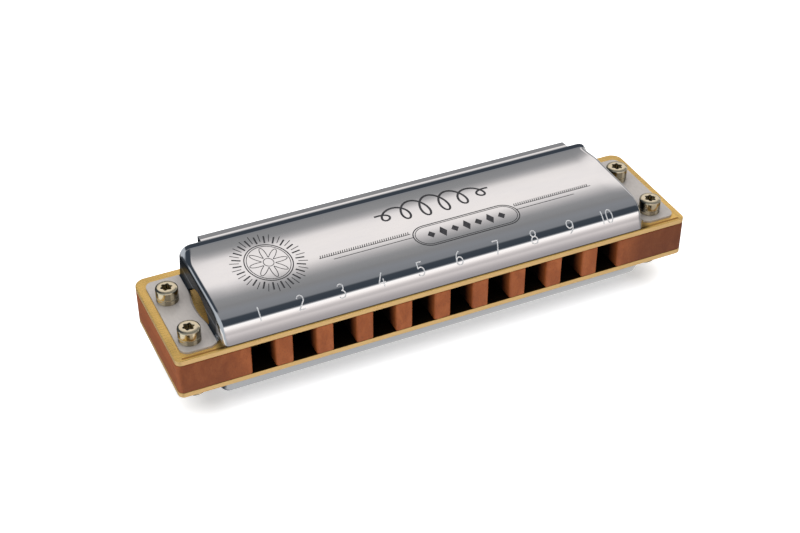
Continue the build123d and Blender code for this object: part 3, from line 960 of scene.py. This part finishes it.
def make_cover_screws(nickel):
    """Cap screws with a turned seam, chamfered rims and a six-lobe socket."""
    flange_top = PLATE_TOP + SHEET
    top = SCREWS_HIGH.z - MIDDLE
    end = SCREWS_LOW.z - MIDDLE
    seam = top - SEAM_DOWN
    rings = [
        (0, end), (SHANK_R - 0.25, end), (SHANK_R, end + 0.25), (SHANK_R, flange_top),
        (SCREW_R - 0.10, flange_top), (SCREW_R, flange_top + 0.10),
        (SCREW_R, seam - 0.08), (SCREW_R - 0.10, seam), (SCREW_R, seam + 0.08),
        (SCREW_R, top - 0.30), (SCREW_R - 0.07, top - 0.15), (SCREW_R - 0.30, top - 0.02),
        (SCREW_R - 0.40, top), (1.25, top), (lobes_wider(0.07), top), (six_lobes, top - 0.07),
        (six_lobes, top - 1.3), (0.6, top - 1.45), (0, top - 1.6),
    ]
    parts = [lathe(x, d, rings, 96) for x, d in screw_places()]
    screws = add_mesh("cap_screws", *joined(parts), nickel, "screw_nickel", sharp=24)
    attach(screws, "body")
    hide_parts("cover_screws")


def make_cover_nuts(nickel):
    """Round nuts below the lower flange, with the screw ends flush inside them."""
    high = -PLATE_TOP - SHEET
    low = NUTS_LOW.z - MIDDLE
    bore = SHANK_R + FASTENER_GAP
    outer = [(SCREW_R - 0.3, low), (SCREW_R, low + 0.3), (SCREW_R, high - 0.08), (SCREW_R - 0.08, high)]
    rings = [(bore + 0.12, low), *outer, (bore, high), (bore, low + 0.12)]
    steps = 96
    faces = strips(len(rings), steps, closed=True)
    parts = [(turned_rings(x, d, rings, steps), faces) for x, d in screw_places()]
    nuts = add_mesh("round_nuts", *joined(parts), nickel, "screw_nickel", sharp=24)
    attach(nuts, "body")
    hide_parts("cover_nuts")


def make_plate_screws(brass):
    """Slotted countersunk screws, flush with the upper plate and through to the lower one."""
    reach = PLATE_SCREW_HEAD_R
    rings = [
        (0, -PLATE_TOP), (PLATE_SCREW_R - 0.06, -PLATE_TOP), (PLATE_SCREW_R, -PLATE_TOP + 0.06),
        (PLATE_SCREW_R, PLATE_TOP - PLATE_SCREW_HEAD), (reach - 0.02, PLATE_TOP - 0.06),
        (reach - 0.05, PLATE_TOP), (0, PLATE_TOP),
    ]
    parts = [lathe(x, d, rings, 48) for x, d in plate_screw_places()]
    screws = add_mesh("plate_screws", *joined(parts), brass, "plate_screw_brass")
    slots = []
    half_long, half = reach + 0.2, PLATE_SCREW_SLOT / 2
    for x, d in plate_screw_places():
        outline = [(x - half_long, d - half), (x + half_long, d - half),
                   (x + half_long, d + half), (x - half_long, d + half)]
        slots.append(prism(outline, lambda u, v, end: (u, v, PLATE_TOP - 0.3 + 0.6 * end)))
    cut(screws, *joined(slots))
    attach(screws, "body")
    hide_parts("reed_plate_screws")


# ==================== marks on the cover
def on_cover(x, along, above):
    """Point over the pressing, at a length along its profile, lifted square to it."""
    d = np.interp(along, CURVE_LENGTH, CURVE_D)
    h = np.interp(along, CURVE_LENGTH, CURVE_H)
    slope = np.interp(along, CURVE_LENGTH, CURVE_SLOPE)
    return (x, d - math.sin(slope) * above, h + math.cos(slope) * above)


def profile_length(distance):
    """Length along the profile at a distance from the front."""
    return float(np.interp(distance, CURVE_D[:CURVE_CREST], CURVE_LENGTH[:CURVE_CREST]))


def stroke(path, section, closed=False):
    """A bead along a path of (x, length along the profile); section is (across, above), anticlockwise."""
    path = np.array(path, float)
    if closed:
        tangent = np.roll(path, -1, axis=0) - np.roll(path, 1, axis=0)
    else:
        tangent = np.gradient(path, axis=0)
    tangent /= np.linalg.norm(tangent, axis=1)[:, None]
    points = []
    for (x, along), (tx, ta) in zip(path, tangent):
        points += [on_cover(x + ta * across, along - tx * across, above) for across, above in section]
    count = len(section)
    faces = [face[::-1] for face in strips(len(path), count, closed)]
    if not closed:
        faces.append(tuple(range(count)))
        faces.append(tuple(range(len(points) - count, len(points)))[::-1])
    return points, faces


def ribbon(width):
    """Section of a flat line that stands a little proud of the sheet."""
    half = width / 2
    return [(-half, -MARK_SUNK), (half, -MARK_SUNK), (half, MARK_HIGH), (-half, MARK_HIGH)]


def patch(outline):
    """Thin filled shape; its outline of (x, length along the profile) is convex and anticlockwise."""
    count = len(outline)
    middle = np.mean(outline, axis=0)
    points = [on_cover(*middle, MARK_HIGH)]
    points += [on_cover(x, along, MARK_HIGH) for x, along in outline]
    points += [on_cover(x, along, -MARK_SUNK) for x, along in outline]
    faces = []
    for k in range(count):
        after = (k + 1) % count
        faces.append((0, 1 + k, 1 + after))
        faces.append((1 + k, 1 + count + k, 1 + count + after, 1 + after))
    faces.append(tuple(range(1 + count, 1 + 2 * count))[::-1])
    return points, faces


def ellipse(cx, cy, rx, ry, start, end, steps):
    return [(cx + rx * u, cy + ry * v) for u, v in arc(0, 0, 1, start, end, steps)]


def line_path(*knots, step=0.1):
    """Straight runs between knots, with points a step apart."""
    path = [knots[0]]
    for (x0, y0), (x1, y1) in zip(knots, knots[1:]):
        pieces = max(1, round(math.dist((x0, y0), (x1, y1)) / step))
        shares = [k / pieces for k in range(1, pieces + 1)]
        path += [(x0 + (x1 - x0) * share, y0 + (y1 - y0) * share) for share in shares]
    return path


def digit_strokes(digit):
    """Plain single-line digit in a box one high."""

    def bow(cx, cy, rx, ry, start, end):
        return ellipse(cx, cy, rx, ry, start, end, 20)

    shapes = {
        0: [bow(0.3, 0.5, 0.27, 0.5, 0, 360)],
        1: [line_path((0.30, 0.0), (0.30, 1.0))],
        2: [bow(0.30, 0.72, 0.26, 0.28, 165, -35) + line_path((0.45, 0.50), (0.04, 0.0), (0.58, 0.0))],
        3: [bow(0.28, 0.76, 0.23, 0.24, 150, -80), bow(0.28, 0.27, 0.28, 0.27, 85, -150)],
        4: [line_path((0.44, 1.0), (0.02, 0.30), (0.60, 0.30)), line_path((0.44, 0.55), (0.44, 0.0))],
        5: [line_path((0.52, 1.0), (0.12, 1.0), (0.08, 0.55)) + bow(0.28, 0.31, 0.28, 0.31, 130, -150)],
        6: [bow(0.62, 0.32, 0.59, 0.70, 108, 180) + bow(0.30, 0.29, 0.27, 0.29, 180, 540)],
        7: [line_path((0.04, 1.0), (0.56, 1.0), (0.22, 0.0))],
        8: [bow(0.30, 0.76, 0.22, 0.23, 270, 630), bow(0.30, 0.27, 0.28, 0.27, 90, 450)],
        9: [bow(0.02, 0.68, 0.56, 0.66, -72, 0) + bow(0.30, 0.71, 0.28, 0.29, 0, 360)],
    }
    return shapes[digit]


def make_hole_numbers(steel):
    """Numbers 1 to 10 stamped across the shoulder, one over each hole."""
    foot = profile_length(NUMBER_FOOT)
    narrow = NUMBER_NARROW * NUMBER_HEIGHT
    bead = circle(0, 0, NUMBER_BEAD, 8)
    parts = []
    for hole, x in enumerate(HOLE_X):
        digits = str(hole + 1)
        width = DIGIT_WIDTH + DIGIT_ADVANCE * (len(digits) - 1)
        for place, digit in enumerate(digits):
            left = x + NUMBERS_RIGHT + place * DIGIT_ADVANCE - width / 2
            for path in digit_strokes(int(digit)):
                placed = [(left + u * narrow, foot + v * NUMBER_HEIGHT) for u, v in path]
                parts.append(stroke(placed, bead))
    numbers = add_mesh("hole_numbers", *joined(parts), steel, "cover_steel")
    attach(numbers, "body")


def rosette(fine, bold):
    """Eight petals in a double oval rim, with long and short rays round it."""
    x, d = ROSETTE
    along = profile_length(d)
    rim_x, rim_y = ROSETTE_RIM

    def oval(rx, ry, steps=96):
        return ellipse(x, along, rx, ry, 0, 360, steps)[:-1]

    petals = []
    for k, (u, v) in enumerate(circle(0, 0, 1, 240)):
        reach = 0.62 + 0.30 * math.cos(8 * 2 * math.pi * k / 240)
        petals.append((x + rim_x * reach * u, along + rim_y * reach * v))
    parts = [stroke(oval(rim_x + 0.4, rim_y + 0.45), bold, closed=True)]
    parts += [stroke(path, fine, closed=True) for path in (oval(rim_x, rim_y), petals, oval(0.9, 1.15))]
    for k, (u, v) in enumerate(circle(0, 0, 1, RAYS)):
        inner, outer, wide = (1.14, 1.52, 0.30) if k % 2 else (1.22, 1.62, 0.14)
        ends = [(x + 4.15 * reach * u, along + 5.0 * reach * v) for reach in (inner, outer)]
        parts.append(stroke(line_path(*ends, step=0.4), ribbon(wide)))
    return parts


def capsule(fine, bold):
    """Double-rimmed capsule with a row of big and small lozenges."""
    x, d = CAPSULE
    along = profile_length(d)
    reach = CAPSULE_HALF_LONG - CAPSULE_HALF_HIGH
    steps = 24
    parts = []
    for inset, section in ((0, bold), (0.4, fine)):
        radius = CAPSULE_HALF_HIGH - inset
        right = arc(x + reach, along, radius, -90, 90, steps)
        left = arc(x - reach, along, radius, 90, 270, steps)
        over = line_path(right[-1], left[0], step=0.5)[1:-1]
        under = line_path(left[-1], right[0], step=0.5)[1:-1]
        parts.append(stroke(right + over + left + under, section, closed=True))
    for k in range(LOZENGES):
        cx = x + (k - LOZENGES // 2) * 2.35
        high = 1.45 if k % 2 else 0.95
        corners_round = [(cx + 0.75, along), (cx, along + high), (cx - 0.75, along), (cx, along - high)]
        parts.append(patch(line_path(*corners_round, corners_round[0], step=0.25)[:-1]))
    return parts


def rules(fine):
    """Hatched line and a shorter plain one, both broken by the capsule."""
    x, d = CAPSULE
    gap_left, gap_right = x - CAPSULE_HALF_LONG - 0.1, x + CAPSULE_HALF_LONG + 0.1
    hatched, plain = profile_length(d + 1.55), profile_length(d + 0.45)
    parts = []
    for along, (left, right) in ((hatched, RULE_ENDS), (plain, SECOND_RULE_ENDS)):
        for start, end in ((left, gap_left), (gap_right, right)):
            parts.append(stroke(line_path((start, along), (end, along), step=1.0), fine))
    for start, end in ((RULE_ENDS[0] + 0.2, gap_left), (gap_right, RULE_ENDS[1] - 0.3)):
        ticks = int((end - start) / RULE_TICKS)
        for k in range(ticks):
            tick_x = start + (end - start) * k / ticks
            path = [(tick_x + 0.12 * step, hatched + 0.35 * step) for step in range(3)]
            parts.append(stroke(path, ribbon(0.15)))
    return parts


def scroll():
    """Row of plain loops that get smaller towards both ends."""
    x, d = SCROLL
    along = profile_length(d)
    path = []
    for k in range(161):
        t = -1 + 2 * k / 160
        wave = 6 * math.pi * t
        path.append((x + SCROLL_HALF * t + 1.6 * math.sin(wave),
                     along + SCROLL_HIGH * math.cos(wave) * (1 - 0.8 * t * t)))
    return [stroke(path, ribbon(SCROLL_LINE))]


def make_ornament(etch):
    """Etched ornament: oval rosette, capsule with lozenges, rules and a plain scroll."""
    fine, bold = ribbon(FINE_LINE), ribbon(BOLD_LINE)
    parts = rosette(fine, bold) + capsule(fine, bold) + rules(fine) + scroll()
    marks = add_mesh("etched_ornament", *joined(parts), etch, "cover_steel")
    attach(marks, "body")


# ==================== light, floor, camera
def make_floor(material):
    bpy.ops.mesh.primitive_plane_add(size=8)
    floor = bpy.context.object
    floor.name = "floor"
    floor.data.materials.append(material)
    floor.visible_glossy = False


SKY_BANDS = [              # pitch in degrees, from the horizon behind over the top to the front, and light
    (0, (0.31, 0.31, 0.32)),
    (30, (0.29, 0.29, 0.295)),
    (35, (0.95, 0.90, 0.88)),
    (39, (1.10, 1.04, 1.01)),
    (41.5, (0.98, 0.93, 0.91)),
    (44.5, (0.52, 0.50, 0.50)),
    (48, (0.33, 0.33, 0.335)),
    (54, (0.28, 0.28, 0.285)),
    (80, (0.28, 0.29, 0.31)),
    (104, (0.25, 0.26, 0.28)),
    (113, (0.055, 0.066, 0.082)),
    (137, (0.045, 0.058, 0.075)),
    (148, (0.80, 0.79, 0.80)),
    (152, (1.36, 1.31, 1.28)),
    (160, (1.24, 1.16, 1.12)),
    (167, (0.90, 0.83, 0.81)),
    (173, (0.50, 0.46, 0.46)),
    (177, (0.37, 0.35, 0.36)),
    (180, (0.33, 0.32, 0.33)),
]
GROUND_BANDS = [           # azimuth in degrees, anticlockwise from the right, and the light from below
    (-180, (1.0, 0.98, 0.95)),
    (-146, (1.0, 0.98, 0.95)),
    (-138, (0.05, 0.05, 0.045)),
    (-106, (0.05, 0.05, 0.045)),
    (-98, (0.95, 0.90, 0.86)),
    (-66, (1.15, 1.08, 1.02)),
    (-56, (1.0, 0.95, 0.90)),
    (-48, (0.90, 0.85, 0.80)),
    (-36, (0.10, 0.10, 0.10)),
    (10, (0.65, 0.64, 0.62)),
    (58, (0.65, 0.64, 0.62)),
    (75, (0.07, 0.08, 0.09)),
    (150, (0.05, 0.06, 0.075)),
    (160, (0.95, 0.94, 0.92)),
    (180, (1.0, 0.98, 0.95)),
]
STUDIO_DARK = (0.045, 0.058, 0.075)
STUDIO_CARD = (0.52, 0.56, 0.60)   # light card at the left
STUDIO_NADIR = (0.50, 0.51, 0.52)


def make_sky():
    """Soft light bands over the harmonica, by pitch about its length, with cards at both sides.

    Polished metal sees the bands under the horizon instead of the floor, which takes no part in reflections.
    """
    n = Nodes("studio", world=True)
    bpy.context.scene.world = n.material
    x, y, z = n.parts(n.place)
    pitch = n.maths("DIVIDE", n.maths("ARCTAN2", z, y), math.pi)
    above = n.ramp(pitch, [(degrees / 180, light) for degrees, light in SKY_BANDS])
    behind_left = n.product(n.spread(x, 1.0, 0.0, -0.10, 0.10), n.spread(y, 0.0, 1.0, 0.15, 0.40))
    above = n.blend(behind_left, above, STUDIO_DARK)
    above = n.blend(n.spread(x, 1.0, 0.0, -0.60, -0.50), above, STUDIO_CARD)
    far_right = n.product(n.spread(x, 0.0, 1.0, 0.86, 0.95), n.spread(pitch, 0.0, 1.0, 50 / 180, 66 / 180))
    above = n.blend(far_right, above, STUDIO_DARK)
    below = n.ramp(n.turn(x, y), by_degrees(GROUND_BANDS))
    below = n.blend(n.spread(z, 1.0, 0.0, -0.95, -0.80), below, STUDIO_NADIR)
    n.varied("Color", n.blend(n.spread(z, 1.0, 0.0, -0.08, 0.0), above, below))


def make_overhead_light():
    """Wide soft box over the harmonica, a little behind it, which takes no part in reflections."""
    data = bpy.data.lights.new("overhead", "AREA")
    data.shape = "RECTANGLE"
    data.size, data.size_y = LIGHT_SIZE
    data.energy = LIGHT_WATTS
    lamp = bpy.data.objects.new("overhead", data)
    bpy.context.scene.collection.objects.link(lamp)
    lamp.location = LIGHT_PLACE
    lamp.rotation_mode = "QUATERNION"
    lamp.rotation_quaternion = (-Vector(LIGHT_PLACE)).to_track_quat("-Z", "Y")
    lamp.visible_glossy = False


def make_camera():
    azimuth, elevation = math.radians(CAMERA_AZIMUTH), math.radians(CAMERA_ELEVATION)
    level = math.cos(elevation)
    back = Vector((math.sin(azimuth) * level, -math.cos(azimuth) * level, math.sin(elevation)))
    data = bpy.data.cameras.new("camera")
    data.sensor_width = SENSOR
    data.lens = CAMERA_LENS
    data.clip_start, data.clip_end = 0.01, 50
    camera = bpy.data.objects.new("camera", data)
    bpy.context.scene.collection.objects.link(camera)
    camera.location = (Vector(CAMERA_AIM) + back * CAMERA_DISTANCE) * MM
    camera.rotation_mode = "QUATERNION"
    camera.rotation_quaternion = (-back).to_track_quat("-Z", "Y")
    bpy.context.scene.camera = camera


def main():
    make_camera()
    wood, brass, steel, nickel = comb_wood(), plate_brass(), cover_steel(), screw_nickel()
    make_comb(wood)
    make_reed_plate("top_reed_plate", "upper_reed_plate", brass, False, PLATE_SCREW_HEAD_R)
    make_reed_plate("bottom_reed_plate", "lower_reed_plate", brass, True, PLATE_SCREW_R)
    make_reeds(reed_brass())
    make_cover("top_cover", "upper_cover", steel, False)
    make_cover("bottom_cover", "lower_cover", steel, True)
    make_cover_screws(nickel)
    make_cover_nuts(nickel)
    make_plate_screws(rivet_brass("plate_screw_brass"))
    make_hole_numbers(stamped_steel())
    make_ornament(mark_etch())
    rivets = rivet_brass()
    for node in ("blow_reed_rivets", "draw_reed_rivets"):
        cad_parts[node].data.materials.clear()
        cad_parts[node].data.materials.append(rivets)
    make_floor(floor_paper())
    make_sky()
    make_overhead_light()
    view = bpy.context.scene.view_settings
    view.view_transform = "Standard"
    view.look = "None"


main()
